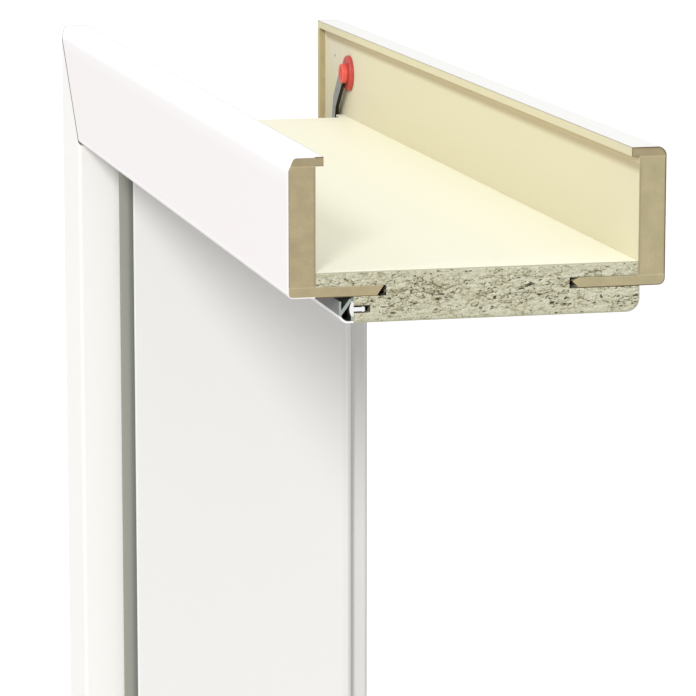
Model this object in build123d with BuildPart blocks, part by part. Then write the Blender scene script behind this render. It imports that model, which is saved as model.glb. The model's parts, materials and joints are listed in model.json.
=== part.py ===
from build123d import *
import os

os.makedirs("parts", exist_ok=True)

# Doorway: the jamb runs from the floor up to a mitred corner, and the head is sawn through
door_height = 1985.0  # floor to the underside of the head lining
wall_least = 135.5  # thinnest wall that fits between the two architrave lips
wall_travel = 20.0  # extra wall thickness that the rear architrave slides out for
head_length = 600.0  # outer edge of the jamb architrave to the sawn end of the head

# Lining: chipboard core, white facing in the doorway, cream backing on the wall side
lining_thick = 22.0
facing_thick = 0.5
backing_thick = 0.6
reveal_step = 11.3  # reveal face to the inner edge of the architraves
rebate_depth = 28.5  # front of the architrave to the rebate face
lining_end_gap = 0.1
lining_rear_reach = 1.0  # lining below the rear tongue runs on under the board
lining_round = 6.0
corner_relief = 14.0  # leg of the flat planed off the outer corner of the mitred lining
corner_ear = 4.0  # full corner left standing beside each architrave

# Architraves: board, lip and tongue glued edge to edge, white foil round the outer faces
# and a cream sheet on the wall side of the board
architrave_width = 60.0
board_thick = 12.1
lip_reach = 3.4  # lip past the wall side of the board
lip_thick = 4.0
foil_thick = 0.4
sheet_thick = 0.4
front_cap_bevel = (2.5, 5.7)  # width and height of the bevel along the outer edge
rear_cap_bevel = (2.4, 2.4)
front_cap_round = 2.0  # rounding at both ends of the bevel
rear_cap_round = 3.2
front_inner_round = 2.0
rear_inner_round = 3.0
tongue_thick = 4.5
tongue_hold = 9.4  # tongue left in its groove when the frame is opened right out
tongue_bevel = 2.7  # how far the tongue's end slants back on the doorway side
front_tip_bevel = (0.3, 0.3)  # length and height of the bevel on the wall side of the tongue
rear_tip_bevel = (3.0, 1.5)
groove_end_gap = 1.3
groove_clearance = 0.15
mitre_gap = 0.3

# Seal: soft hollow bulb with a free lip and a slanting rib, on a firm web with a barbed stem
seal_depth = 6.3
seal_height = 10.9
seal_wall = 0.9
seal_round = 3.8
seal_top_gap = 0.4
lip_drop = 2.0  # architrave edge down to the free end of the lip
rib_thick = 1.4
rib_foot_drop = 7.5
rib_head_drop = 1.2
web_thick = 1.1
web_height = 8.1
web_bulge = 0.7  # swelling of the web in the chamber, level with the stem
web_bulge_height = 5.2
seal_groove_width = 3.2
seal_groove_depth = 7.3
seal_groove_drop = 5.5  # architrave edge down to the middle of the seal groove
stem_length = 4.9
stem_thick = 1.8
barb_height = 0.3
barb_length = 1.2

# Mitre connector: a turning cam in the head, a hook held in a collar, and a stud in the jamb
cam_along = 6.0  # cam centre from the inner corner, along the head
cam_from_outer_edge = 24.0
cam_disc_radius = 10.0
cam_disc_thick = 2.0
cam_disc_bevel = 0.5
cam_lift = 0.3  # running gap under the cam disc
cam_pin_radius = 3.0
cam_pin_top = 5.8  # board face to the slotted end of the pin
cam_shaft_radius = 4.0
cam_slot_width = 1.2
cam_slot_depth = 1.2
cam_hole_radius = 1.0
cam_hole_inset = 1.8  # rim of the disc to the middle of its hole
running_clearance = 0.08
connector_bore_depth = 8.0
collar_radius = 5.5
collar_top = 5.5  # board face to the collar's end
collar_bevel = 0.4
hook_width = 8.0
hook_root_width = 9.2  # across the eye, which the collar holds
hook_thick = 2.0
hook_eye_clearance = 0.3
hook_high = 2.9  # board face to the underside of the hook at the cam
hook_low = 0.4  # board face to the underside of the hook at the stud
hook_crank_start = 25.0  # cam centre to the start of the long crank
hook_crank_run = 20.0
stud_radius = 3.0
stud_head_radius = 5.4
stud_head_thick = 1.6
stud_clearance = 0.2
jaw_depth = 3.4  # hook past the middle of the stud

# Worked out from the sizes above
total_depth = wall_least + 2 * (board_thick + lip_reach)
front_y = -total_depth / 2
lining_front = board_thick + lining_end_gap
lining_rear = total_depth - lining_front
lining_top = lining_thick - reveal_step
inner_x = lining_top  # inner edge of the jamb architraves from the wall side of the lining
head_z = door_height + reveal_step
outer_x = inner_x - architrave_width
jamb_length = head_z + architrave_width
cam_above = architrave_width - cam_from_outer_edge
tongue_end = board_thick + wall_travel + tongue_hold
groove_end = tongue_end + groove_end_gap

head_front = Plane(origin=(outer_x, front_y, head_z), x_dir=(0, 1, 0), z_dir=(1, 0, 0))
jamb_front = Plane(origin=(inner_x, front_y, 0), x_dir=(0, 1, 0), z_dir=(0, 0, 1))
head_rear = Plane(
    origin=(outer_x + head_length, -front_y, head_z), x_dir=(0, -1, 0), z_dir=(-1, 0, 0)
)
jamb_rear = Plane(origin=(inner_x, -front_y, jamb_length), x_dir=(0, -1, 0), z_dir=(0, 0, -1))
mitre = Plane(origin=(inner_x, 0, head_z), x_dir=(0, 1, 0), z_dir=(1, 0, 1))


def save(piece, name):
    """Label a finished piece and write it to its own file."""
    piece.part.label = name
    export_step(piece.part, f"parts/{name}.step")


# Profiles are drawn with X through the wall from the outer face of an architrave
# and Y outwards from the inner edge of the architraves.
def architrave_profiles(cap_bevel, cap_round, inner_round, tip_bevel):
    """Foil, lip, board, sheet and tongue of one architrave."""
    skin_end = board_thick + lip_reach
    lip_foot = architrave_width - lip_thick
    core_top = architrave_width - foil_thick
    tip_length, tip_height = tip_bevel

    # The outer faces run on past the lip's end, so that the inside of the foil stays open there
    with BuildSketch() as outside:
        Rectangle(skin_end + foil_thick, architrave_width, align=Align.MIN)
        front_edge = outside.edges().sort_by(Axis.X)[0]
        cap_corner = front_edge.vertices().sort_by(Axis.Y)[-1]
        chamfer(cap_corner, length=cap_bevel[1], length2=cap_bevel[0], reference=front_edge)
        inner_corner, *cap_corners = outside.vertices().sort_by(Axis.X)[:3].sort_by(Axis.Y)
        fillet(cap_corners, cap_round)
        fillet(inner_corner, inner_round)
    with BuildSketch() as inside:
        offset(outside.sketch, amount=-foil_thick)

    with BuildSketch() as foil:
        Rectangle(skin_end, architrave_width, align=Align.MIN)
        add(outside.sketch, mode=Mode.INTERSECT)
        add(inside.sketch, mode=Mode.SUBTRACT)
        with Locations((skin_end, 0)):
            Rectangle(tongue_end - tongue_bevel - skin_end, foil_thick, align=Align.MIN)

    with BuildSketch() as lip:
        with Locations((foil_thick, lip_foot)):
            Rectangle(skin_end - foil_thick, core_top - lip_foot, align=Align.MIN)
        add(inside.sketch, mode=Mode.INTERSECT)

    with BuildSketch() as board:
        with Locations((foil_thick, tongue_thick)):
            Rectangle(
                board_thick - foil_thick - sheet_thick, lip_foot - tongue_thick, align=Align.MIN
            )
        add(inside.sketch, mode=Mode.INTERSECT)

    with BuildSketch() as sheet:
        with Locations((board_thick, tongue_thick)):
            Rectangle(
                sheet_thick, lip_foot - tongue_thick, align=(Align.MAX, Align.MIN)
            )

    with BuildSketch() as tongue:
        with BuildLine():
            Polyline(
                (foil_thick, foil_thick),
                (tongue_end - tongue_bevel, foil_thick),
                (tongue_end, tongue_thick - tip_height),
                (tongue_end - tip_length, tongue_thick),
                (foil_thick, tongue_thick),
                close=True,
            )
        make_face()
        fillet(
            tongue.vertices().group_by(Axis.Y)[0].sort_by(Axis.X)[0], inner_round - foil_thick
        )

    return {"foil": foil, "lip": lip, "board": board, "sheet": sheet, "tongue": tongue}


def lining_profiles():
    """Core, facing and backing of the lining, seen from the front architrave inwards."""
    core_front = rebate_depth + facing_thick
    facing_rear = lining_rear + lining_rear_reach
    core_rear = facing_rear - facing_thick
    core_bottom = facing_thick - reveal_step
    core_top = lining_top - backing_thick
    rear_groove_end = total_depth - groove_end

    with BuildSketch() as core:
        with BuildLine():
            Polyline(
                (lining_front, core_top),
                (lining_rear, core_top),
                (lining_rear, tongue_thick + groove_clearance),
                (rear_groove_end, tongue_thick + groove_clearance),
                (rear_groove_end, -groove_clearance),
                (core_rear, -groove_clearance),
                (core_rear, core_bottom),
                (core_front, core_bottom),
                (core_front, 0),
                (groove_end, 0),
                (groove_end, tongue_thick),
                (lining_front, tongue_thick),
                close=True,
            )
        make_face()
        fillet(
            core.vertices().group_by(Axis.Y)[0].sort_by(Axis.X)[-1],
            lining_round - facing_thick,
        )
        with Locations((core_front, -seal_groove_drop)):
            Rectangle(
                seal_groove_depth - facing_thick,
                seal_groove_width,
                align=(Align.MIN, Align.CENTER),
                mode=Mode.SUBTRACT,
            )

    with BuildSketch() as facing:
        with Locations((rebate_depth, -reveal_step)):
            Rectangle(facing_rear - rebate_depth, reveal_step, align=Align.MIN)
        fillet(facing.vertices().group_by(Axis.Y)[0].sort_by(Axis.X)[-1], lining_round)
        with BuildSketch(mode=Mode.SUBTRACT) as hollow:
            with Locations((core_front, core_bottom)):
                Rectangle(core_rear - core_front, reveal_step, align=Align.MIN)
            fillet(
                hollow.vertices().group_by(Axis.Y)[0].sort_by(Axis.X)[-1],
                lining_round - facing_thick,
            )
        with Locations((rebate_depth, -seal_groove_drop)):
            Rectangle(
                facing_thick,
                seal_groove_width,
                align=(Align.MIN, Align.CENTER),
                mode=Mode.SUBTRACT,
            )
        with Locations((facing_rear, 0)):
            Rectangle(
                facing_thick,
                groove_clearance,
                align=Align.MAX,
                mode=Mode.SUBTRACT,
            )

    with BuildSketch() as backing:
        with Locations((lining_front, core_top)):
            Rectangle(lining_rear - lining_front, backing_thick, align=Align.MIN)

    return {"lining_core": core, "lining_facing": facing, "lining_backing": backing}


def seal_profiles():
    """Soft bulb of the seal, and the firm web and stem that hold it in the rebate."""
    web_left = rebate_depth - web_thick
    web_bottom = -seal_top_gap - web_height
    seal_left = rebate_depth - seal_depth
    seal_bottom = -seal_top_gap - seal_height
    wall_middle = seal_left + seal_wall / 2
    floor_middle = seal_bottom + seal_wall / 2
    stem_end = rebate_depth + stem_length

    with BuildSketch() as bulb:
        with BuildLine():
            Line((wall_middle, -rib_foot_drop), (web_left, -rib_head_drop))
        trace(line_width=rib_thick)
        with Locations((web_left, -seal_top_gap)):
            Rectangle(
                web_left - wall_middle, seal_height, align=Align.MAX, mode=Mode.INTERSECT
            )
        with BuildLine():
            FilletPolyline(
                (wall_middle, -lip_drop),
                (wall_middle, floor_middle),
                (rebate_depth, floor_middle),
                radius=seal_round - seal_wall / 2,
            )
        trace(line_width=seal_wall)
        with Locations((rebate_depth, web_bottom)):
            Rectangle(web_thick, web_bottom - seal_bottom, align=Align.MAX)

    with BuildSketch() as web:
        with Locations((rebate_depth, web_bottom)):
            Rectangle(web_thick, web_height, align=(Align.MAX, Align.MIN))
        with BuildLine():
            bulge = ThreePointArc(
                (web_left, -seal_groove_drop - web_bulge_height / 2),
                (web_left - web_bulge, -seal_groove_drop),
                (web_left, -seal_groove_drop + web_bulge_height / 2),
            )
            Line(bulge @ 1, bulge @ 0)
        make_face()
        with Locations((rebate_depth, -seal_groove_drop)):
            Rectangle(stem_length, stem_thick, align=(Align.MIN, Align.CENTER))
        with BuildLine():
            Polyline(
                (stem_end, stem_thick / 2 - seal_groove_drop),
                (stem_end - barb_length, stem_thick / 2 + barb_height - seal_groove_drop),
                (stem_end - barb_length, -stem_thick / 2 - barb_height - seal_groove_drop),
                (stem_end, -stem_thick / 2 - seal_groove_drop),
                close=True,
            )
        make_face()

    return {"seal": bulb, "seal_web": web}


# Corner flat planed off the mitred lining between its two ears
with BuildPart() as relief:
    with BuildSketch(Plane.XZ.offset(-front_y - lining_front - corner_ear)):
        with BuildLine():
            Polyline(
                (0, head_z + lining_top),
                (corner_relief, head_z + lining_top),
                (0, head_z + lining_top - corner_relief),
                close=True,
            )
        make_face()
    extrude(amount=-(lining_rear - lining_front - 2 * corner_ear))


def connector_bores(side):
    """Blind bores for the cam shaft and the stud in the two boards of one side."""
    face_y = side * (-front_y - board_thick)
    with BuildPart() as bores:
        with BuildSketch(Plane.XZ.offset(-face_y)):
            with Locations((inner_x + cam_along, head_z + cam_above)):
                Circle(cam_shaft_radius + running_clearance)
            with Locations((inner_x - cam_above, head_z - cam_along)):
                Circle(stud_radius + running_clearance)
        extrude(amount=-side * connector_bore_depth)
    return bores


front_bores = connector_bores(-1)
rear_bores = connector_bores(1)


def member(name, profile, plane, length, above_mitre, cuts=()):
    """One straight length of a profile, mitred at the corner."""
    gap = mitre_gap / 2 if above_mitre else -mitre_gap / 2
    with BuildPart() as piece:
        with BuildSketch(plane):
            add(profile.sketch)
        extrude(amount=length)
        split(bisect_by=mitre.offset(gap), keep=Keep.TOP if above_mitre else Keep.BOTTOM)
        for cut in cuts:
            add(cut.part, mode=Mode.SUBTRACT)
    save(piece, name)


front_profiles = architrave_profiles(
    front_cap_bevel, front_cap_round, front_inner_round, front_tip_bevel
)
rear_profiles = architrave_profiles(
    rear_cap_bevel, rear_cap_round, rear_inner_round, rear_tip_bevel
)
bored = ("board", "sheet")

for part_name, profile in lining_profiles().items():
    member(f"head_{part_name}", profile, head_front, head_length, True, [relief])
    member(f"jamb_{part_name}", profile, jamb_front, jamb_length, False, [relief])

for part_name, profile in seal_profiles().items():
    member(f"head_{part_name}", profile, head_front, head_length, True)
    member(f"jamb_{part_name}", profile, jamb_front, jamb_length, False)

for part_name, profile in front_profiles.items():
    bores = [front_bores] if part_name in bored else []
    full_name = f"front_architrave_{part_name}"
    member(f"head_{full_name}", profile, head_front, head_length, True, bores)
    member(f"jamb_{full_name}", profile, jamb_front, jamb_length, False, bores)

for part_name, profile in rear_profiles.items():
    bores = [rear_bores] if part_name in bored else []
    full_name = f"rear_architrave_{part_name}"
    member(f"head_{full_name}", profile, head_rear, head_length, True, bores)
    member(f"jamb_{full_name}", profile, jamb_rear, jamb_length, False, bores)


# Each connector is drawn looking along its shaft, with Z out of the board face
def connector_plane(side):
    """Plane on the board face, with its origin at the cam and X towards the stud."""
    face_y = side * (-front_y - board_thick)
    return Plane(
        origin=(inner_x + cam_along, face_y, head_z + cam_above),
        x_dir=(-1, 0, -1),
        z_dir=(0, -side, 0),
    )


stud_reach = (cam_along + cam_above) * 2**0.5


def build_cam(side, name):
    """Cam: a disc, a slotted pin for the hook and the shaft in its bore."""
    base = connector_plane(side)
    disc_top = cam_lift + cam_disc_thick
    with BuildPart() as cam:
        with BuildSketch(base.offset(cam_lift)):
            Circle(cam_disc_radius)
        disc = extrude(amount=cam_disc_thick)
        chamfer(disc.edges().sort_by(Axis.Y)[0 if side > 0 else -1], cam_disc_bevel)
        with BuildSketch(base.offset(disc_top)):
            Circle(cam_pin_radius)
        extrude(amount=cam_pin_top - disc_top)
        with BuildSketch(base.offset(cam_lift)):
            Circle(cam_shaft_radius)
        extrude(amount=-(connector_bore_depth - cam_lift))
        with BuildSketch(base.offset(cam_pin_top)):
            Rectangle(cam_pin_radius * 2, cam_slot_width)
        extrude(amount=-cam_slot_depth, mode=Mode.SUBTRACT)
        with BuildSketch(base.offset(disc_top)):
            with Locations((cam_hole_inset - cam_disc_radius, 0)):
                Circle(cam_hole_radius)
        extrude(amount=-cam_disc_thick, mode=Mode.SUBTRACT)
    save(cam, name)


def build_hook(side, name):
    """Hook: an eye round the cam pin, a tapered arm with a long crank and an open jaw at the stud."""
    base = connector_plane(side)
    jaw_end = stud_reach + jaw_depth
    crank_end = hook_crank_start + hook_crank_run
    side_plane = Plane(origin=base.origin, x_dir=base.x_dir, z_dir=base.y_dir)
    # In side_plane, X runs towards the stud and Y is the distance from the board, with its sign
    out = -1 if side_plane.y_dir.dot(base.z_dir) < 0 else 1
    with BuildPart() as hook:
        with BuildSketch(side_plane):
            with BuildLine():
                Polyline(
                    (0, out * hook_high),
                    (hook_crank_start, out * hook_high),
                    (crank_end, out * hook_low),
                    (jaw_end, out * hook_low),
                    (jaw_end, out * (hook_low + hook_thick)),
                    (crank_end, out * (hook_low + hook_thick)),
                    (hook_crank_start, out * (hook_high + hook_thick)),
                    (0, out * (hook_high + hook_thick)),
                    close=True,
                )
            make_face()
        extrude(amount=hook_root_width / 2, both=True)
        with BuildSketch(base):
            with BuildLine():
                Polyline(
                    (0, hook_root_width / 2),
                    (hook_crank_start, hook_width / 2),
                    (jaw_end, hook_width / 2),
                    (jaw_end, -hook_width / 2),
                    (hook_crank_start, -hook_width / 2),
                    (0, -hook_root_width / 2),
                    close=True,
                )
            make_face()
        extrude(amount=hook_high + hook_thick, mode=Mode.INTERSECT)
        with BuildSketch(base.offset(hook_high)):
            Circle(hook_root_width / 2)
        extrude(amount=hook_thick)
        with BuildSketch(base.offset(hook_high)):
            Circle(cam_pin_radius + hook_eye_clearance)
        extrude(amount=hook_thick, mode=Mode.SUBTRACT)
        with BuildSketch(base.offset(hook_low)):
            with Locations((stud_reach, 0)):
                Circle(stud_radius + stud_clearance)
            with Locations((stud_reach, 0)):
                Rectangle(
                    2 * (stud_radius + stud_clearance),
                    hook_width,
                    align=(Align.CENTER, Align.MIN),
                )
        extrude(amount=hook_thick, mode=Mode.SUBTRACT)
    save(hook, name)
    return hook


def build_collar(side, name, hook):
    """Collar: a moulded drum round the cam pin, closed over the eye of the hook."""
    foot = cam_lift + cam_disc_thick + running_clearance
    base = connector_plane(side)
    with BuildPart() as collar:
        with BuildSketch(base.offset(foot)):
            Circle(collar_radius)
        drum = extrude(amount=collar_top - foot)
        chamfer(drum.edges().sort_by(Axis.Y)[0 if side > 0 else -1], collar_bevel)
        with BuildSketch(base.offset(foot)):
            Circle(cam_pin_radius + hook_eye_clearance)
        extrude(amount=collar_top - foot, mode=Mode.SUBTRACT)
        add(hook.part, mode=Mode.SUBTRACT)
    save(collar, name)


def build_stud(side, name):
    """Stud: a headed pin in the jamb board."""
    base = connector_plane(side)
    stud_top = hook_low + hook_thick + running_clearance
    with BuildPart() as stud:
        with BuildSketch(base.offset(-connector_bore_depth)):
            with Locations((stud_reach, 0)):
                Circle(stud_radius)
        extrude(amount=connector_bore_depth + stud_top)
        with BuildSketch(base.offset(stud_top)):
            with Locations((stud_reach, 0)):
                Circle(stud_head_radius)
        extrude(amount=stud_head_thick)
    save(stud, name)


for side, where in ((-1, "front"), (1, "rear")):
    build_cam(side, f"{where}_cam")
    hook = build_hook(side, f"{where}_hook")
    build_collar(side, f"{where}_collar", hook)
    build_stud(side, f"{where}_stud")
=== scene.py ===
"""Finishes and studio for the sawn corner of a door frame, laid out as an add-on and run as a script."""
import json
import math

import bmesh
import bpy
import numpy as np
from bpy.props import FloatProperty, FloatVectorProperty, IntProperty, PointerProperty
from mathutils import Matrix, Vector


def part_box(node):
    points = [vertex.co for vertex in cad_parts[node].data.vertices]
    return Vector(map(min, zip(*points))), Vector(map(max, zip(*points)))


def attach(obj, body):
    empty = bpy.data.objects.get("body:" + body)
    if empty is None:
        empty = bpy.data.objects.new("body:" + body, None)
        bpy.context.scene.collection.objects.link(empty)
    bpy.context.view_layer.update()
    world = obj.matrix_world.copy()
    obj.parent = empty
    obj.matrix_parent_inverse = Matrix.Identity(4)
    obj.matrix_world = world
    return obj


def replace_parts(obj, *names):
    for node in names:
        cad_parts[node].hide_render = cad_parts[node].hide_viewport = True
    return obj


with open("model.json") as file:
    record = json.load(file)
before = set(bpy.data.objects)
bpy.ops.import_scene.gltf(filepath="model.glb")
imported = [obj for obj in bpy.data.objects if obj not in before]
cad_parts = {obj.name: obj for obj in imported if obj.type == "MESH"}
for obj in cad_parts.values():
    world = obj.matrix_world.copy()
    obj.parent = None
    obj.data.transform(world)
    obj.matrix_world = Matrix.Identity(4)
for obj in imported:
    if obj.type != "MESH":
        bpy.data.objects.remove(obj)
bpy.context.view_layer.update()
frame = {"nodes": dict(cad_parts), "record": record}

bl_info = {
    "name": "Door frame corner finishes",
    "version": (1, 0, 0),
    "blender": (4, 5, 0),
    "location": "3D View > Sidebar > Door frame",
    "description": "Dresses a sawn door frame corner and sets up a pale studio around it",
    "category": "Object",
}

MM = 0.001
NODES = frame["nodes"]

# Places read from the frame
CORE_LOW, CORE_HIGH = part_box("head_lining_core")
FACING_LOW, FACING_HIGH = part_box("jamb_lining_facing")
HEAD_FOIL_LOW, HEAD_FOIL_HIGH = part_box("head_rear_architrave_foil")
JAMB_FOIL_LOW, JAMB_FOIL_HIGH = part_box("jamb_rear_architrave_foil")
SHEET_LOW, SHEET_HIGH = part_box("head_rear_architrave_sheet")
SEAL_LOW, SEAL_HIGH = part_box("jamb_seal")
LIP_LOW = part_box("head_rear_architrave_lip")[0]
TONGUE_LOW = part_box("head_rear_architrave_tongue")[0]
HEAD_SEAL_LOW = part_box("head_seal")[0]
SAWN_X = CORE_HIGH.x
MITRE_SUM = JAMB_FOIL_HIGH.x + HEAD_FOIL_LOW.z
FOIL_THICK = TONGUE_LOW.z - HEAD_FOIL_LOW.z

# Sizes and directions chosen here
FRONT_ROUND, REAR_ROUND = 2.0 * MM, 3.0 * MM
PIN_X, PIN_Z = -20.3 * MM, 2038.7 * MM
SAME_PLACE = 1e-6
ENDWARD, THROUGH, UPWARD = (1.0, 0.0, 0.0), (0.0, 1.0, 0.0), (0.0, 0.0, 1.0)
FRONT_CORNER = (1.0, -1.0, 0.0)


def body_of(name):
    """Name of the body that a CAD node rides on."""
    bodies = frame["record"]["behaviour"]["bodies"]
    return next(body for body, members in bodies.items() if name in members)


def node_points(name):
    """Vertices of a CAD node as rows of X, Y and Z in metres."""
    mesh = NODES[name].data
    points = np.empty(len(mesh.vertices) * 3, np.float32)
    mesh.vertices.foreach_get("co", points)
    return points.reshape(-1, 3).astype(float)


def place_piece(mesh, name):
    """Stand a new mesh in the scene, on the body that a CAD node rides on."""
    piece = bpy.data.objects.new(mesh.name, mesh)
    bpy.context.scene.collection.objects.link(piece)
    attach(piece, body_of(name))
    return piece


# Settings

def colour(name, description, default):
    """A colour property."""
    return FloatVectorProperty(
        name=name, description=description, default=default, size=3, min=0.0, max=1.0, subtype="COLOR"
    )


def length(name, description, default):
    """A length property in metres."""
    return FloatProperty(name=name, description=description, default=default, min=0.0, unit="LENGTH")


def fraction(name, description, default):
    """A property from 0 to 1."""
    return FloatProperty(name=name, description=description, default=default, min=0.0, max=1.0)


def power(name, description, default):
    """The strength of a light."""
    return FloatProperty(name=name, description=description, default=default, min=0.0)


def angle(name, description, degrees):
    """An angle property, given in degrees."""
    return FloatProperty(
        name=name, description=description, default=math.radians(degrees), subtype="ANGLE", unit="ROTATION"
    )


def aim(name, description, default):
    """A property for the way that a light travels."""
    return FloatVectorProperty(
        name=name, description=description, default=default, size=3, subtype="DIRECTION"
    )


class FinishSettings(bpy.types.PropertyGroup):
    """Colours of the finishes."""

    head_foil: colour("Head foil", "White foil of the head", (0.955, 0.912, 0.903))
    jamb_foil: colour("Jamb foil", "White foil of the jamb", (0.985, 0.967, 0.935))
    facing: colour("Facing", "White laminate of the reveal", (0.900, 0.885, 0.855))
    # Painted highlight: the white that the finishes mix in where light would catch an edge
    painted_highlight: colour("Arris", "Clean white at the rounds and at the sawn end", (0.99, 0.99, 0.985))
    joint: colour("Joint", "Fine line of the mitre", (0.035, 0.032, 0.028))
    backing: colour("Backing", "Cream backing of the lining", (0.990, 0.980, 0.830))
    sheet: colour("Sheet", "Cream sheets on the architraves", (0.715, 0.675, 0.490))
    # Painted shadow: the brown band that the rear lip casts on the head's rear sheet
    sheet_shade: colour("Sheet under the lip", "Brown band on the sheet under the lip", (0.485, 0.415, 0.26))
    paper: colour("Paper edge", "Pale edge of the head's lips on the wall side", (0.66, 0.615, 0.43))
    paper_jamb: colour("Paper edge, jamb", "Edge of the jamb's lips on the wall side", (0.53, 0.465, 0.245))
    board: colour("Fibreboard", "Raw fibreboard", (0.465, 0.385, 0.232))
    board_dark: colour("Fibreboard edge", "Dark skin and glue lines of the fibreboard", (0.20, 0.15, 0.075))
    chip_light: colour("Light chips", "Palest chips of the core", (0.76, 0.74, 0.59))
    chip_middle: colour("Chips", "Most chips of the core", (0.548, 0.534, 0.388))
    # The dark chips also serve as painted shade in the core's voids, slits and open joints
    chip_dark: colour("Dark chips", "Bark and voids of the core", (0.045, 0.036, 0.02))
    # Painted light and shade across the jamb's seal: paler where it faces the door, darker against the
    # rebate
    seal_painted_light: colour("Seal, front", "Seal where it faces the door", (0.258, 0.260, 0.205))
    seal_middle: colour("Seal, middle", "Crown of the seal", (0.275, 0.280, 0.250))
    seal_painted_shade: colour("Seal, back", "Seal against the rebate", (0.155, 0.165, 0.130))
    seal_head: colour("Head seal", "Seal under the head", (0.195, 0.175, 0.165))
    seal_cut: colour("Seal cut", "Sawn end of the soft seal", (0.36, 0.41, 0.37))
    # Painted shade: the near-black inside the hollow seal and behind the web's sawn end
    seal_hollow_shade: colour("Seal hollow", "Inside of the hollow seal", (0.030, 0.040, 0.034))
    seal_web: colour("Seal stem", "Firm white stem and hub", (0.90, 0.91, 0.89))
    seal_wall: colour("Seal web", "Greenish web over and under the hub", (0.20, 0.235, 0.20))
    cam: colour("Cam", "Red moulded cam", (0.68, 0.070, 0.048))
    steel: colour("Steel", "Zinc plated steel", (0.42, 0.43, 0.40))
    # Painted shade: dark olive on the steel's edges, which stand in shade
    steel_edge_shade: colour("Steel edge", "Cut edges of the steel", (0.030, 0.026, 0.010))
    pin: colour("Pin", "Head of the small pin in the rear sheet", (0.055, 0.040, 0.020))
    speck: colour("Specks", "Rare specks in the cream sheets", (0.42, 0.32, 0.16))


class SawnFaceSettings(bpy.types.PropertyGroup):
    """Sizes of the sawn faces at the end of the head."""

    step: length("Grid step", "Distance between the points of a sawn face", 0.3 * MM)
    relief: length("Relief", "Height of the chips above their voids", 0.30 * MM)
    board_relief: length("Saw marks", "Height of the saw marks in fibreboard", 0.05 * MM)
    chip_length: length("Chip length", "Usual length of a chip in the middle layer", 3.4 * MM)
    chip_height: length("Chip height", "Usual thickness of a chip in the middle layer", 1.15 * MM)
    face_layer: length("Face layer", "Thickness of the fine layer at each face", 3.0 * MM)
    void_share: fraction("Voids", "Share of the middle layer's chips that are missing", 0.035)
    slit_share: fraction("Slits", "Share of the fine chips that are missing", 0.035)
    seed: IntProperty(name="Seed", description="Which random chips are drawn", default=11, min=0)


class StudioSettings(bpy.types.PropertyGroup):
    """Camera and lights."""

    camera_place: FloatVectorProperty(
        name="Camera", description="Where the camera stands", default=(2.0771, -0.4207, 2.2594),
        size=3, subtype="TRANSLATION", unit="LENGTH",
    )
    camera_azimuth: angle("Azimuth", "Turn of the view, 0 along +Y and 90 along -X", 76.604)
    camera_elevation: angle("Elevation", "Height of the camera above the horizon", 10.297)
    lens: FloatProperty(name="Lens", description="Focal length", default=194.6, min=1.0, unit="CAMERA")
    key_travel: aim("Key direction", "Way the soft key light travels", (-1.0, 0.45, -0.47))
    key_strength: power("Key", "Strength of the key light", 1.5)
    key_width: angle("Key softness", "Width of the key light", 11)
    fill_travel: aim("Fill direction", "Way the fill light travels", (-0.1, 1.0, -0.3))
    fill_strength: power("Fill", "Strength of the fill light", 1.0)
    fill_width: angle("Fill softness", "Width of the fill light", 28)
    sky_top: power("Overhead", "Light from straight above", 1.11)
    sky_side: power("Sides", "Light from the horizon", 0.40)
    floor_size: length("Floor", "Width of the floor", 90.0)


# Shader helpers

def fill(tree, socket, value):
    """Link a value into a socket, or set it there if it isn't a link."""
    if isinstance(value, bpy.types.NodeSocket):
        tree.links.new(value, socket)
    else:
        socket.default_value = value


def put(tree, kind, inputs=None, **settings):
    """Add a shader node, set its settings and fill its inputs with values or links."""
    made = tree.nodes.new("ShaderNode" + kind)
    for name, value in settings.items():
        setattr(made, name, value)
    for name, value in (inputs or {}).items():
        fill(tree, made.inputs[name], value)
    return made


def maths(tree, operation, first, second=0.0, third=0.0, clamp=False):
    """One Math node; returns its value."""
    return put(
        tree, "Math", {0: first, 1: second, 2: third}, operation=operation, use_clamp=clamp
    ).outputs[0]


def blend(tree, share, first, second):
    """Mix two colours by a share; returns the colour."""
    mixer = put(tree, "Mix", {"Factor": share}, data_type="RGBA")
    for index, value in ((6, first), (7, second)):
        linked = isinstance(value, bpy.types.NodeSocket)
        fill(tree, mixer.inputs[index], value if linked else (*value, 1.0))
    return mixer.outputs[2]


def tint(tree, mask, amount, first, second):
    """Mix two colours by a mask times an amount; returns the colour."""
    return blend(tree, maths(tree, "MULTIPLY", mask, amount), first, second)


def ramp(tree, value, stops):
    """Colour ramp over (position, colour) stops; returns the colour."""
    made = put(tree, "ValToRGB", {"Fac": value})
    elements = made.color_ramp.elements
    while len(elements) < len(stops):
        elements.new(1.0)
    for element, (position, shade) in zip(elements, stops):
        element.position = position
        element.color = (*shade, 1.0)
    return made.outputs["Color"]


def group_tree(name, inputs, outputs):
    """A new node group with float or vector inputs and float outputs; returns its tree and both ends."""
    tree = bpy.data.node_groups.new(name, "ShaderNodeTree")
    for socket, kind, value in inputs:
        made = tree.interface.new_socket(socket, in_out="INPUT", socket_type="NodeSocket" + kind)
        if value is not None:
            made.default_value = value
    for socket, kind in outputs:
        tree.interface.new_socket(socket, in_out="OUTPUT", socket_type="NodeSocket" + kind)
    return tree, tree.nodes.new("NodeGroupInput"), tree.nodes.new("NodeGroupOutput")


def use_group(tree, name, inputs):
    """Place a shared group in a material; returns its outputs."""
    made = tree.nodes.new("ShaderNodeGroup")
    made.node_tree = bpy.data.node_groups[name]
    for socket, value in inputs.items():
        fill(tree, made.inputs[socket], value)
    return made.outputs


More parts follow.
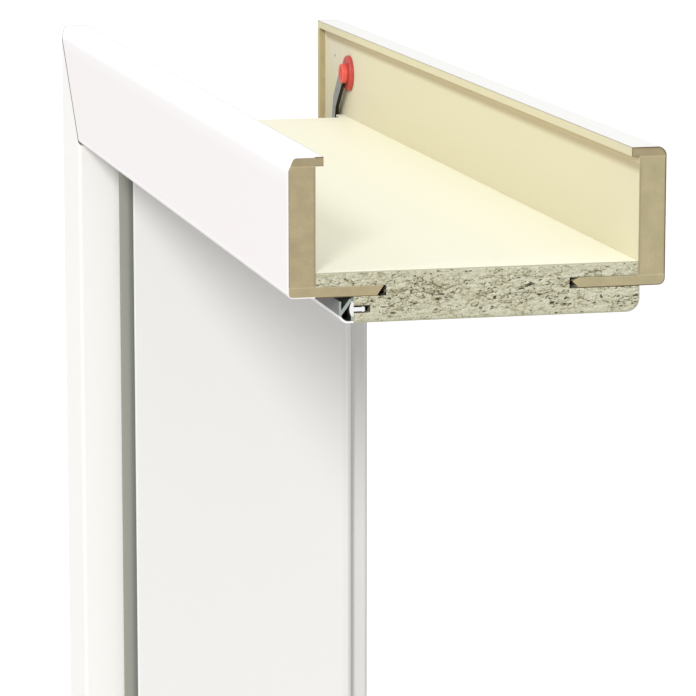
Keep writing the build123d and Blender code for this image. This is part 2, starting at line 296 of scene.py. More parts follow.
def grain(tree, vector, pores, clouds=9.0):
    """Pores and clouds of the shared grain, each from 0 to 1."""
    made = use_group(tree, "grain", {"Vector": vector, "Pores": pores, "Clouds": clouds})
    return made["Pore"], made["Cloud"]


def specks(tree, vector, scale, share, size):
    """Mask of the shared specks."""
    inputs = {"Vector": vector, "Scale": scale, "Share": share, "Size": size}
    return use_group(tree, "specks", inputs)["Speck"]


def edge(tree, place, name):
    """One mask of the shared thin places."""
    return use_group(tree, "edges", {"Vector": place})[name]


def coordinate(tree, vector, axis):
    """X, Y or Z of a vector."""
    return put(tree, "SeparateXYZ", {"Vector": vector}).outputs[axis]


def dot(tree, vector, direction):
    """Dot product of a vector and a direction."""
    return put(tree, "VectorMath", {0: vector, 1: direction}, operation="DOT_PRODUCT").outputs["Value"]


def point_value(tree, name):
    """A value that is kept on the mesh's points."""
    return put(tree, "Attribute", attribute_name=name).outputs["Fac"]


def stretched(tree, vector, scale):
    """Vector with each axis scaled; returns the vector."""
    return put(tree, "Mapping", {"Vector": vector, "Scale": scale}, vector_type="POINT").outputs[0]


def span(tree, value, zero, one):
    """Share from 0 where the value is at zero to 1 where it is at one, held beyond both."""
    return put(tree, "MapRange", {
        "Value": value, "From Min": zero, "From Max": one, "To Min": 0.0, "To Max": 1.0,
    }).outputs[0]


def near(tree, value, middle, reach):
    """1 where the value is at the middle, falling to 0 at the reach on both sides."""
    gap = maths(tree, "ABSOLUTE", maths(tree, "SUBTRACT", value, middle))
    return span(tree, gap, reach, 0.0)


def scaled(shade, *factors):
    """A colour times one factor, or times one factor for each channel."""
    return tuple(min(1.0, c * f) for c, f in zip(shade, factors if len(factors) == 3 else factors * 3))


def build_edge_group():
    """Thin places on the frame, each from 0 to 1: the line of the mitre, the sawn end, the last stretch
    before it, the edge at the lips' wall side, and the sawn foil under a tongue."""
    joint_reach, joint_gain = 1.8 * MM, 1.5
    sawn_start, sawn_full = SAWN_X - 0.08 * MM, SAWN_X - 0.04 * MM
    end_start, end_full = SAWN_X - 1.6 * MM, SAWN_X - 1.0 * MM
    lip_reach, wall_reach, tongue_edge = 8 * MM, 0.5 * MM, 0.2 * MM
    tree, given, result = group_tree(
        "edges", [("Vector", "Vector", None)],
        [(name, "Float") for name in ("Joint", "Sawn", "End", "Wall", "Tongue")],
    )
    x, y, z = (coordinate(tree, given.outputs["Vector"], axis) for axis in "XYZ")
    off = maths(tree, "ABSOLUTE", y)
    sawn = span(tree, x, sawn_start, sawn_full)
    mitre = near(tree, maths(tree, "ADD", x, z), MITRE_SUM, joint_reach)
    on_lip = maths(
        tree, "MAXIMUM", maths(tree, "GREATER_THAN", z, HEAD_FOIL_HIGH.z - lip_reach),
        maths(tree, "LESS_THAN", x, JAMB_FOIL_LOW.x + lip_reach),
    )
    under_tongue = span(tree, off, SHEET_HIGH.y, SHEET_HIGH.y - tongue_edge)
    masks = {
        "Joint": maths(tree, "MULTIPLY", mitre, joint_gain, clamp=True),
        "Sawn": sawn,
        "End": span(tree, x, end_start, end_full),
        "Wall": maths(tree, "MULTIPLY", near(tree, off, LIP_LOW.y, wall_reach), on_lip),
        "Tongue": maths(tree, "MULTIPLY", sawn, under_tongue),
    }
    for name, mask in masks.items():
        tree.links.new(mask, result.inputs[name])


def build_grain_group():
    """Fine pores or fibres over broad faint clouds, both from 0 to 1."""
    tree, given, result = group_tree(
        "grain",
        [("Vector", "Vector", None), ("Pores", "Float", 2500.0), ("Clouds", "Float", 9.0)],
        [("Pore", "Float"), ("Cloud", "Float")],
    )
    vector = given.outputs["Vector"]
    pores = put(tree, "TexNoise", {
        "Vector": vector, "Scale": given.outputs["Pores"], "Detail": 3.0, "Roughness": 0.65,
    })
    clouds = put(tree, "TexNoise", {
        "Vector": vector, "Scale": given.outputs["Clouds"], "Detail": 2.0, "Roughness": 0.5,
    })
    tree.links.new(pores.outputs["Fac"], result.inputs["Pore"])
    tree.links.new(clouds.outputs["Fac"], result.inputs["Cloud"])


def build_speck_group():
    """Scattered small specks: 1 inside a speck, falling softly to 0 at its edge."""
    tree, given, result = group_tree(
        "specks",
        [
            ("Vector", "Vector", None), ("Scale", "Float", 900.0), ("Share", "Float", 0.2),
            ("Size", "Float", 0.35),
        ],
        [("Speck", "Float")],
    )
    cells = put(tree, "TexVoronoi", {
        "Vector": given.outputs["Vector"], "Scale": given.outputs["Scale"], "Randomness": 1.0,
    }, feature="F1")
    draw = put(tree, "SeparateColor", {"Color": cells.outputs["Color"]}).outputs["Red"]
    chosen = maths(tree, "LESS_THAN", draw, given.outputs["Share"])
    inside = put(tree, "MapRange", {
        "Value": cells.outputs["Distance"], "From Min": given.outputs["Size"], "From Max": 0.0,
        "To Min": 0.0, "To Max": 1.0,
    }, interpolation_type="SMOOTHSTEP").outputs[0]
    tree.links.new(maths(tree, "MULTIPLY", chosen, inside), result.inputs["Speck"])


def build_chip_group():
    """Pressed chips: a random tone for each flat chip and a height, both falling to 0 at the joints between
    chips, and the voids where a chip is missing."""
    wobble_size, wobble_scale, joint_width = 1.4 * MM, 350.0, 0.12
    tree, given, result = group_tree(
        "chips",
        [("Vector", "Vector", None), ("Voids", "Float", 0.12)],
        [("Tone", "Float"), ("Height", "Float"), ("Void", "Float")],
    )
    vector = given.outputs["Vector"]
    noise = put(tree, "TexNoise", {"Vector": vector, "Scale": wobble_scale, "Detail": 3.0}).outputs["Color"]
    wobble = put(tree, "VectorMath", {0: noise, "Scale": wobble_size}, operation="SCALE").outputs[0]
    shifted = put(tree, "VectorMath", {0: vector, 1: wobble}, operation="ADD").outputs[0]
    cells = put(tree, "TexVoronoi", {"Vector": shifted, "Scale": 1.0}, feature="F1")
    gaps = put(tree, "TexVoronoi", {"Vector": shifted, "Scale": 1.0}, feature="DISTANCE_TO_EDGE")
    draws = put(tree, "SeparateColor", {"Color": cells.outputs["Color"]})
    void = maths(tree, "LESS_THAN", draws.outputs["Blue"], given.outputs["Voids"])
    joint = span(tree, gaps.outputs["Distance"], 0.0, joint_width)
    solid = maths(tree, "SUBTRACT", 1.0, void)
    tree.links.new(maths(tree, "MULTIPLY", draws.outputs["Red"], joint), result.inputs["Tone"])
    tree.links.new(maths(tree, "MULTIPLY", solid, joint), result.inputs["Height"])
    tree.links.new(void, result.inputs["Void"])


def new_material(name, **constants):
    """A material with a Principled shader; the constants go on the shader's own sockets."""
    material = bpy.data.materials.new(name)
    material.use_nodes = True
    tree = material.node_tree
    tree.nodes.clear()
    shader = put(tree, "BsdfPrincipled")
    for socket, value in constants.items():
        shader.inputs[socket.replace("_", " ")].default_value = value
    output = put(tree, "OutputMaterial", {"Surface": shader.outputs["BSDF"]})
    output.is_active_output = True
    place = put(tree, "TexCoord").outputs["Object"]
    return material, tree, shader, place


def feed(tree, shader, **links):
    """Link values into the shader's sockets."""
    for socket, value in links.items():
        tree.links.new(value, shader.inputs[socket.replace("_", " ")])


def surface(tree, shader, tone, pores, roughness, relief, height=None):
    """Finish a material with its colour, with a roughness of base + gain * pores, and with a bump of a
    strength and a depth in mm that follows the height, or the pores if there is none."""
    (base, gain), (strength, depth) = roughness, relief
    normal = put(tree, "Bump", {
        "Height": pores if height is None else height, "Strength": strength, "Distance": depth * MM,
    }).outputs["Normal"]
    rough = maths(tree, "MULTIPLY_ADD", pores, gain, base)
    feed(tree, shader, Base_Color=tone, Roughness=rough, Normal=normal)


# Materials

def satin_white(name, finish, shade, cut, bands=(), fade=None):
    """White foil or laminate: faint clouds, tiny pores in the gloss and a slight orange peel, with fine
    lines at the mitre and the wall side, a painted highlight in white before the sawn end, and the cut
    colour on what is sawn under a tongue. Each band is a direction, a place along it, a reach and a colour,
    most of them painted highlights and painted shade, and fade is the height over which the shade turns to
    a painted highlight in white."""
    material, tree, shader, place = new_material(name, Specular_IOR_Level=0.42)
    pore, cloud = grain(tree, place, 1900.0, 7.0)
    tone = tint(tree, cloud, 0.5, shade, scaled(shade, 0.975))
    # Painted highlight: white over the last stretch before the sawn end
    tone = blend(tree, edge(tree, place, "End"), tone, finish.painted_highlight)
    # Most bands are painted highlights and painted shade, drawn as lines along the foil
    for direction, middle, reach, line in bands:
        tone = blend(tree, near(tree, dot(tree, place, direction), middle, reach), tone, line)
    # Painted highlight: the shade turns white towards the top
    if fade is not None:
        tone = blend(tree, span(tree, coordinate(tree, place, "Z"), *fade), tone, finish.painted_highlight)
    tone = tint(tree, edge(tree, place, "Wall"), 0.65, tone, finish.board_dark)
    tone = blend(tree, edge(tree, place, "Tongue"), tone, cut)
    tone = blend(tree, edge(tree, place, "Joint"), tone, finish.joint)
    surface(tree, shader, tone, pore, (0.36, 0.10), (0.12, 0.03))
    return material


def cream_sheet(name, finish, shade, cut, pale=None, lipped=False):
    """Cream backing paper: fine fibres, faint clouds and rare specks, with the cut colour at the sawn end.
    The pale colour that comes in towards the front architrave is painted light, lifting the backing where
    that architrave shades it."""
    material, tree, shader, place = new_material(name, Specular_IOR_Level=0.3)
    pore, cloud = grain(tree, stretched(tree, place, (0.25, 1.0, 1.0)), 1500.0, 14.0)
    dots = specks(tree, place, 160.0, 0.02, 0.10)
    tone = blend(tree, cloud, shade, scaled(shade, 0.97, 0.96, 0.92))
    tone = tint(tree, pore, 0.25, tone, scaled(shade, 0.90, 0.87, 0.78))
    tone = tint(tree, dots, 0.35, tone, finish.speck)
    # Painted light: paler towards the front architrave, where that architrave shades the backing
    if pale is not None:
        painted_light_start = SHEET_LOW.y - 105 * MM
        tone = blend(tree, span(tree, coordinate(tree, place, "Y"), painted_light_start, -SHEET_LOW.y), tone, pale)
    tone = blend(tree, edge(tree, place, "Sawn"), tone, cut)
    if lipped:
        tone = shade_under_lip(tree, place, finish, shade, tone)
    surface(tree, shader, tone, pore, (0.45, 0.15), (0.2, 0.05))
    return material


def shade_under_lip(tree, place, finish, shade, tone):
    """What shows on the head's rear sheet only: a duller far end, a painted shadow of the lip as a brown
    band under it that widens towards the sawn end, lifted by painted light right under the lip, and the head
    of a small pin."""
    dull_start, dull_full = 90 * MM, -30 * MM
    band_start, band_width, band_growth = -40 * MM, 6.5 * MM, 1.5 * MM
    light_end, light_full = 3.6 * MM, 2.9 * MM
    pin_edge, pin_full = 1.0 * MM, 0.6 * MM
    across = coordinate(tree, place, "X")
    tone = blend(tree, span(tree, across, dull_start, dull_full), tone, scaled(shade, 0.98, 0.96, 1.03))
    width = maths(tree, "MULTIPLY_ADD", span(tree, across, band_start, SAWN_X), band_growth, band_width)
    depth = maths(tree, "SUBTRACT", LIP_LOW.z, coordinate(tree, place, "Z"))
    # Painted light right under the lip, inside the painted shadow that the lip casts as a brown band
    light = span(tree, depth, light_end, light_full)
    band = blend(tree, light, finish.sheet_shade, scaled(finish.sheet_shade, 1.2))
    tone = blend(tree, span(tree, maths(tree, "DIVIDE", depth, width), 1.0, 0.65), tone, band)
    flat = put(tree, "Mapping", {
        "Vector": place, "Location": (-PIN_X, 0.0, -PIN_Z), "Scale": (1.0, 0.0, 1.0),
    }, vector_type="POINT").outputs[0]
    apart = put(tree, "VectorMath", {0: flat}, operation="LENGTH").outputs["Value"]
    return blend(tree, span(tree, apart, pin_edge, pin_full), tone, finish.pin)


def fibreboard(name, finish, tints=(1.0, 1.0, 1.0), sawn=False):
    """Fibreboard: packed fine fibres with pale and dark flecks. A sawn face is darker at its rim and paler
    where two boards are glued. Elsewhere the lips have a paper edge on the wall side, paler on the head."""
    material, tree, shader, place = new_material(name, Specular_IOR_Level=0.2)
    shade = scaled(finish.board, *tints)
    pore, cloud = grain(tree, place, 3000.0, 150.0)
    pale = specks(tree, stretched(tree, place, (1.0, 0.6, 1.0)), 1300.0, 0.18, 0.42)
    brown = specks(tree, stretched(tree, place, (0.6, 1.0, 1.0)), 1700.0, 0.14, 0.40)
    tone = blend(tree, cloud, scaled(shade, 0.78), scaled(shade, 1.22, 1.22, 1.18))
    tone = tint(tree, pore, 0.50, tone, scaled(shade, 0.72))
    tone = tint(tree, pale, 0.35, tone, scaled(shade, 1.4))
    tone = tint(tree, brown, 0.40, tone, finish.board_dark)
    if sawn:
        tone = tint(tree, point_value(tree, "rim"), 0.75, tone, finish.board_dark)
        tone = tint(tree, point_value(tree, "seam"), 0.6, tone, scaled(shade, 1.35))
    else:
        on_head = span(tree, coordinate(tree, place, "Z"), LIP_LOW.z - 0.5 * MM, LIP_LOW.z)
        paper = blend(tree, on_head, finish.paper_jamb, finish.paper)
        tone = blend(tree, edge(tree, place, "Wall"), tone, paper)
    surface(tree, shader, tone, pore, (0.65, 0.2), (0.35, 0.08))
    return material


def chipboard_solid(finish):
    """Chipboard away from the sawn end: pressed chips worked out from the place in the board."""
    material, tree, shader, place = new_material("chipboard", Specular_IOR_Level=0.2)
    chips = use_group(tree, "chips", {
        "Vector": stretched(tree, place, (260.0, 280.0, 850.0)), "Voids": 0.08,
    })
    pore = grain(tree, place, 2600.0)[0]
    tone = ramp(tree, chips["Tone"], [
        (0.0, finish.chip_dark), (0.18, scaled(finish.chip_middle, 0.55)),
        (0.5, finish.chip_middle), (0.95, finish.chip_light),
    ])
    tone = tint(tree, pore, 0.4, tone, scaled(finish.chip_middle, 0.5))
    # Painted shade: the voids are painted dark
    tone = blend(tree, chips["Void"], tone, finish.chip_dark)
    surface(tree, shader, tone, pore, (0.7, 0.2), (0.6, 0.4), chips["Height"])
    return material


def chipboard_sawn(finish):
    """Sawn chipboard: each point's tone and void come from the face's own chips, with fine fibres on top."""
    material, tree, shader, place = new_material("chipboard_sawn", Specular_IOR_Level=0.2)
    pore = grain(tree, stretched(tree, place, (1.0, 0.35, 1.0)), 3200.0)[0]
    fibre = maths(tree, "SUBTRACT", pore, 0.5)
    tone = ramp(tree, maths(tree, "MULTIPLY_ADD", fibre, 0.35, point_value(tree, "tone")), [
        (0.0, scaled(finish.chip_middle, 0.16, 0.13, 0.10)),
        (0.28, scaled(finish.chip_middle, 0.55, 0.51, 0.42)),
        (0.5, finish.chip_middle), (0.92, finish.chip_light),
    ])
    # Painted shade: the voids, slits and open joints are painted dark
    tone = blend(tree, point_value(tree, "void"), tone, finish.chip_dark)
    surface(tree, shader, tone, pore, (0.7, 0.2), (0.4, 0.1))
    return material


def drawn_lines(tree, place, scale):
    """Fine lines along a drawn strip, from 0 to 1."""
    return put(tree, "TexNoise", {
        "Vector": stretched(tree, place, scale), "Scale": 1.0, "Detail": 2.0, "Roughness": 0.6,
    }).outputs["Fac"]


def jamb_seal_rubber(finish):
    """Grey soft seal on the jamb: drawn lines along its length, with painted light at the front and painted
    shade against the rebate."""
    material, tree, shader, place = new_material("jamb_seal_rubber", Specular_IOR_Level=0.35)
    across = span(tree, coordinate(tree, place, "Y"), SEAL_LOW.y, SEAL_HIGH.y)
    lines = drawn_lines(tree, place, (40.0, 2600.0, 0.6))
    pore = grain(tree, place, 2200.0)[0]
    share = maths(tree, "MULTIPLY_ADD", maths(tree, "SUBTRACT", lines, 0.5), 0.40, across, clamp=True)
    # Painted light at the front and painted shade against the rebate
    tone = ramp(tree, share, [(0.0, finish.seal_painted_light), (0.5, finish.seal_middle), (1.0, finish.seal_painted_shade)])
    surface(tree, shader, tone, pore, (0.5, 0.2), (0.3, 0.1), lines)
    return material


def head_seal_rubber(finish):
    """Grey soft seal under the head: drawn lines along its length, greener towards the sawn end, painted
    nearly black inside as painted shade, and pale where it is sawn. A painted highlight in white follows
    its lower edge, by height, and its lower front edge, by the distance from the lowest plane that stands
    square to the lean."""
    lean = (0.0, 0.617, 0.787)
    green_start, green_full = SAWN_X - 45 * MM, SAWN_X - 5 * MM
    hollow_start, hollow_full = SEAL_LOW.y + 0.9 * MM, SEAL_LOW.y + 1.2 * MM
    front_highlight_full, front_highlight_end = 0.8 * MM, 1.2 * MM
    lower_highlight_full, lower_highlight_end = HEAD_SEAL_LOW.z + 0.6 * MM, HEAD_SEAL_LOW.z + 0.9 * MM
    material, tree, shader, place = new_material("head_seal_rubber", Specular_IOR_Level=0.35)
    x, y, z = (coordinate(tree, place, axis) for axis in "XYZ")
    lines = drawn_lines(tree, place, (0.6, 2600.0, 2600.0))
    pore = grain(tree, place, 2200.0)[0]
    green = span(tree, x, green_start, green_full)
    tone = blend(tree, green, finish.seal_head, scaled(finish.seal_head, 1.20, 1.45, 1.45))
    tone = tint(tree, lines, 0.4, tone, scaled(finish.seal_head, 0.75))
    # Painted shade: nearly black behind the seal's front wall, inside the hollow
    tone = blend(tree, span(tree, y, hollow_start, hollow_full), tone, finish.seal_hollow_shade)
    tone = blend(tree, edge(tree, place, "Sawn"), tone, finish.seal_cut)
    rim = float((node_points("head_seal") @ np.array(lean)).min())
    depth = dot(tree, place, lean)
    # Painted highlight: white along the lower front edge and along the lower edge
    tone = blend(tree, span(tree, depth, rim + front_highlight_end, rim + front_highlight_full), tone, finish.painted_highlight)
    tone = blend(tree, span(tree, z, lower_highlight_end, lower_highlight_full), tone, finish.painted_highlight)
    surface(tree, shader, tone, pore, (0.5, 0.2), (0.3, 0.1), lines)
    return material


def seal_web_plastic(finish):
    """Firm web of the seal, with a faint grain: at the sawn end white at the stem and the hub and greenish
    above and below, and painted nearly black behind it as painted shade."""
    stem_tip, white_end, green_full = 0.2 * MM, 2.6 * MM, 4.0 * MM
    material, tree, shader, place = new_material("seal_web_plastic", Specular_IOR_Level=0.4)
    points = node_points("head_seal_web")
    stem = float(points[points[:, 1] > points[:, 1].max() - stem_tip, 2].mean())
    off = maths(tree, "ABSOLUTE", maths(tree, "SUBTRACT", coordinate(tree, place, "Z"), stem))
    pore, cloud = grain(tree, stretched(tree, place, (0.1, 1.0, 1.0)), 1800.0, 50.0)
    tone = tint(tree, cloud, 0.5, finish.seal_web, scaled(finish.seal_web, 0.86))
    tone = blend(tree, span(tree, off, white_end, green_full), tone, finish.seal_wall)
    # Painted shade: the web is painted nearly black behind the sawn end
    inside = maths(tree, "SUBTRACT", 1.0, edge(tree, place, "Sawn"))
    tone = tint(tree, inside, 0.85, tone, finish.seal_hollow_shade)
    surface(tree, shader, tone, pore, (0.4, 0.15), (0.15, 0.04))
    return material


def red_plastic(finish):
    """Red moulded cam and collar: slight flow clouds, a fine spark-eroded grain and a soft gloss, darker
    near the board."""
    flange_start, flange_full = SHEET_LOW.y - 3.2 * MM, SHEET_LOW.y - 2.6 * MM
    material, tree, shader, place = new_material("red_plastic", Specular_IOR_Level=0.5)
    pore, cloud = grain(tree, place, 2400.0, 120.0)
    off = maths(tree, "ABSOLUTE", coordinate(tree, place, "Y"))
    tone = blend(tree, cloud, finish.cam, scaled(finish.cam, 1.2, 2.2, 2.4))
    flange = span(tree, off, flange_start, flange_full)
    tone = tint(tree, flange, 0.8, tone, scaled(finish.cam, 0.62, 0.60, 0.75))
    surface(tree, shader, tone, pore, (0.28, 0.2), (0.2, 0.05))
    return material


def zinc_steel(finish):
    """Zinc plated steel: clouded plating and duller spots on the flat sides, which face along Y, and a dark
    olive painted shade on the edges, which face away from it."""
    edge_full, edge_start = 0.45, 0.75
    material, tree, shader, place = new_material("zinc_steel", Metallic=0.85)
    pore, cloud = grain(tree, place, 1700.0, 220.0)
    spots = specks(tree, place, 500.0, 0.25, 0.5)
    facing = coordinate(tree, put(tree, "TexCoord").outputs["Normal"], "Y")
    tone = blend(tree, cloud, scaled(finish.steel, 0.8), scaled(finish.steel, 1.25))
    tone = tint(tree, spots, 0.4, tone, scaled(finish.steel, 0.55))
    # Painted shade: dark olive on the edges that face away from Y
    cut = span(tree, maths(tree, "ABSOLUTE", facing), edge_start, edge_full)
    tone = blend(tree, cut, tone, finish.steel_edge_shade)
    surface(tree, shader, tone, pore, (0.38, 0.25), (0.2, 0.04))
    return material


def dress(material, *names):
    """Give a material to CAD nodes."""
    for name in names:
        slots = NODES[name].data.materials
        slots.clear()
        slots.append(material)


def named(*endings):
    """CAD nodes whose names end in one of the endings."""
    found = [name for name in NODES if name.endswith(endings)]
    if not found:
        raise RuntimeError(f"no node of the frame ends in {endings}")
    return found


# Foils with a rounded inner edge

def rounded_foil(name, radius):
    """Copy of a foil in which the square edge along its inner corner is bevelled round: the outer edge by
    the radius, and the edge inside it by the radius less the foil's thickness."""
    found_within, segments, flat_angle = 0.02 * MM, 8, math.radians(1)
    axis, corner = (2, HEAD_FOIL_LOW.z) if name.startswith("head") else (0, JAMB_FOIL_HIGH.x)
    inward = 1 if axis == 2 else -1
    shape = bmesh.new()
    shape.from_mesh(NODES[name].data)
    bmesh.ops.remove_doubles(shape, verts=shape.verts, dist=SAME_PLACE)
    bmesh.ops.dissolve_limit(shape, angle_limit=flat_angle, verts=shape.verts, edges=shape.edges)
    for inset in (0.0, FOIL_THICK):
        places = (corner + inward * inset, JAMB_FOIL_HIGH.y - inset)
        edges = [line for line in shape.edges if all(
            math.dist((point.co[axis], abs(point.co.y)), places) < found_within for point in line.verts
        )]
        if len(edges) != 1:
            raise RuntimeError(f"{name} has {len(edges)} edges at its inner corner, not one")
        bmesh.ops.bevel(
            shape, geom=edges, offset=radius - inset, offset_type="OFFSET", segments=segments, profile=0.5,
            affect="EDGES", clamp_overlap=False,
        )
    mesh = bpy.data.meshes.new(name + "_rounded")
    shape.to_mesh(mesh)
    shape.free()
    piece = place_piece(mesh, name)
    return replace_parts(piece, name)


# Sawn faces at the end of the head

def end_outline(name):
    """Outline of a CAD node in the sawn plane, as segments of Y and Z points in metres: the edges that
    belong to one end triangle only."""
    mesh = NODES[name].data
    mesh.calc_loop_triangles()
    points = node_points(name)
    corners = np.empty(len(mesh.loop_triangles) * 3, np.int32)
    mesh.loop_triangles.foreach_get("vertices", corners)
    corners = corners.reshape(-1, 3)
    in_plane = np.abs(points[:, 0] - SAWN_X) < SAME_PLACE
    corners = corners[in_plane[corners].all(axis=1)]
    steps = np.round(points[:, 1:] / SAME_PLACE).astype(np.int64)
    places, welded = np.unique(steps, axis=0, return_inverse=True)
    corners = welded.reshape(-1)[corners]
    edges = np.sort(np.concatenate([corners[:, [0, 1]], corners[:, [1, 2]], corners[:, [2, 0]]]), axis=1)
    edges, uses = np.unique(edges, axis=0, return_counts=True)
    return places[edges[uses == 1]] * SAME_PLACE


def nearest_on(outline, points):
    """Distance to the outline, and the nearest point on it: each point is dropped square onto every
    segment, held between the segment's ends, and the closest foot is kept."""
    start = outline[:, 0]
    along = outline[:, 1] - start
    offset = points[:, None, :] - start
    share = np.clip((offset * along).sum(2) / (along ** 2).sum(1), 0, 1)
    feet = start + share[..., None] * along
    gaps = np.linalg.norm(points[:, None, :] - feet, axis=2)
    best = gaps.argmin(axis=1)
    rows = np.arange(len(points))
    return gaps[rows, best], feet[rows, best]


def inside_of(outline, points):
    """True inside the outline: a ray along Y crosses it an odd number of times."""
    y, z = points[:, None, 0], points[:, None, 1]
    y0, z0 = outline[:, 0, 0], outline[:, 0, 1]
    y1, z1 = outline[:, 1, 0], outline[:, 1, 1]
    spans = (z0 > z) != (z1 > z)
    level = 1e-12
    slope = np.where(np.abs(z1 - z0) < level, 1.0, z1 - z0)
    crossing = y0 + (y1 - y0) * (z - z0) / slope
    return (spans & (y < crossing)).sum(axis=1) % 2 == 1


def smooth_noise(y, z, size, rng):
    """Value noise: random numbers on a square lattice of the given size, eased between lattice points."""
    columns, rows = y / size, z / size
    i, j = np.floor(columns).astype(int), np.floor(rows).astype(int)
    i -= i.min()
    j -= j.min()
    table = rng.random((i.max() + 2, j.max() + 2))
    u, v = columns - np.floor(columns), rows - np.floor(rows)
    u, v = u * u * (3 - 2 * u), v * v * (3 - 2 * v)
    low = table[i, j] * (1 - u) + table[i + 1, j] * u
    high = table[i, j + 1] * (1 - u) + table[i + 1, j + 1] * u
    return low * (1 - v) + high * v


def wave(y, z, reach, size, rng):
    """Value noise between minus half and plus half of a reach."""
    return reach * (smooth_noise(y, z, size, rng) - 0.5)


def chip_cells(y, z, cell_y, cell_z, rng):
    """Jittered cells: the nearest seed's random numbers and the gap to the second nearest. Each lattice
    cell holds one seed, and distances are measured in cells, so chips come out as flat as the lattice."""
    u, v = y / cell_y, z / cell_z
    i, j = np.floor(u).astype(int), np.floor(v).astype(int)
    low_i, low_j = i.min() - 1, j.min() - 1
    shape = (i.max() - low_i + 2, j.max() - low_j + 2)
    seed_u, seed_v = rng.random(shape), rng.random(shape)
    marks = rng.random((*shape, 4))
    nearest, second = np.full(y.shape, 9.0), np.full(y.shape, 9.0)
    chosen = np.zeros((*y.shape, 4))
    across = np.zeros(y.shape)
    for di in (-1, 0, 1):
        for dj in (-1, 0, 1):
            a, b = i + di - low_i, j + dj - low_j
            du = u - (i + di + seed_u[a, b])
            dv = v - (j + dj + seed_v[a, b])
            gap = np.hypot(du, dv)
            closer = gap < nearest
            second = np.where(closer, nearest, np.minimum(second, gap))
            nearest = np.where(closer, gap, nearest)
            chosen[closer] = marks[a, b][closer]
            across = np.where(closer, dv, across)
    return chosen, second - nearest, nearest, across


def chip_face(points, settings):
    """Tone, void and height of sawn chipboard. Chips differ little in tone; dark joints and slits lie
    between some of them, wider voids open in the middle layer, and each face layer is packed finer. A dark
    joint is exp(-gap / width) and an open one exp(-(gap / width) ** 2), with gaps and widths in cells."""
    fine_length, fine_height = 0.42 * settings.chip_length, 0.5 * settings.chip_height
    joint_dark, joint_width, joint_share = 0.42, 0.07, 0.40
    fine_dark, fine_width, fine_share = 0.20, 0.10, 0.35
    open_width, open_share, shoulder = 0.11, 0.22, 0.15
    rng = np.random.default_rng(settings.seed)
    y, z = points[:, 0], points[:, 1]
    bent_z = z + wave(y, z, 1.5 * MM, 4.5 * MM, rng)
    bent_z = bent_z + wave(y, z, 0.6 * MM, 1.3 * MM, rng)
    bent_y = y + wave(y, z, 1.0 * MM, 1.7 * MM, rng)
    marks, gap, middle_gap, across = chip_cells(
        bent_y, bent_z, settings.chip_length, settings.chip_height, rng
    )
    fine_marks, fine_gap, fine_middle_gap, _ = chip_cells(bent_y, bent_z, fine_length, fine_height, rng)
    depth = np.minimum(z - CORE_LOW.z, CORE_HIGH.z - z)
    face = np.clip(1 - (depth - 0.6 * settings.face_layer) / (0.8 * settings.face_layer), 0, 1)
    fibres = wave(y, z, 1.0, 0.4 * MM, rng)
    clouds = wave(y, z, 1.0, 3.5 * MM, rng)
    chips = 0.26 * (marks[:, 0] - 0.5) + 0.12 * across
    fine_chips = 0.26 * (fine_marks[:, 0] - 0.5)
    tone = 0.55 + chips * (1 - 0.7 * face) + fine_chips + 0.28 * fibres + 0.12 * clouds
    tone -= joint_dark * np.exp(-gap / joint_width) * (marks[:, 2] < joint_share) * (1 - 0.6 * face)
    tone -= fine_dark * np.exp(-fine_gap / fine_width) * (fine_marks[:, 2] < fine_share)
    patches = smooth_noise(y, z, 4.5 * MM, rng)
    void_share = settings.void_share * (1 - 0.85 * face) * (0.3 + 1.6 * patches ** 2)
    void = (marks[:, 1] < void_share) * np.clip(1.6 - 2.6 * middle_gap, 0, 1)
    slit_share = settings.slit_share * (1 - 0.5 * face)
    slits = (fine_marks[:, 1] < slit_share) * np.clip(1.7 - 2.4 * fine_middle_gap, 0, 1)
    joints = (marks[:, 2] < open_share * (1 - 0.8 * face)) * np.exp(-(gap / open_width) ** 2)
    void = np.maximum(np.maximum(void, slits), joints)
    height = (0.25 + 0.55 * marks[:, 3] + 0.2 * fibres) * (1 - 0.5 * face) + 0.25 * face
    height = height * np.clip(gap / shoulder, 0.3, 1) * (1 - void)
    return np.clip(tone, 0, 1), void, np.clip(height, 0, 1) * settings.relief


def board_face(points, settings):
    """Tone, void and height of sawn fibreboard: upright saw marks over fine fibres."""
    fibre_size, stroke_size, stroke_squeeze = 0.4 * MM, 0.5 * MM, 0.06
    rng = np.random.default_rng(settings.seed + 1)
    y, z = points[:, 0], points[:, 1]
    fibres = smooth_noise(y, z, fibre_size, rng)
    strokes = smooth_noise(y, z * stroke_squeeze, stroke_size, rng)
    height = settings.board_relief * (0.5 * fibres + 0.5 * strokes)
    return 0.5 + 0.3 * (fibres - 0.5), np.zeros(len(points)), height


def face_grid(outline, step):
    """Points, their distances to the outline and the four-cornered cells of a grid over Y and Z: points near
    the outline are moved onto it, and cells with a free corner are kept."""
    low, high = outline.reshape(-1, 2).min(0), outline.reshape(-1, 2).max(0)
    counts = np.ceil((high - low) / step).astype(int) + 1
    y, z = np.meshgrid(
        np.linspace(low[0], high[0], counts[0]), np.linspace(low[1], high[1], counts[1]), indexing="ij"
    )
    points = np.stack([y.ravel(), z.ravel()], axis=1)
    gap, foot = nearest_on(outline, points)
    free = inside_of(outline, points) & (gap > 0.5 * step)
    points = np.where(free[:, None], points, foot)
    gap = np.where(free, gap, 0.0)
    index = np.arange(counts[0] * counts[1]).reshape(counts)
    corners = [index[:-1, :-1], index[1:, :-1], index[1:, 1:], index[:-1, 1:]]
    cells = np.stack(corners, axis=-1).reshape(-1, 4)
    used, cells = np.unique(cells[free[cells].any(axis=1)], return_inverse=True)
    return points[used], gap[used], cells.reshape(-1, 4)


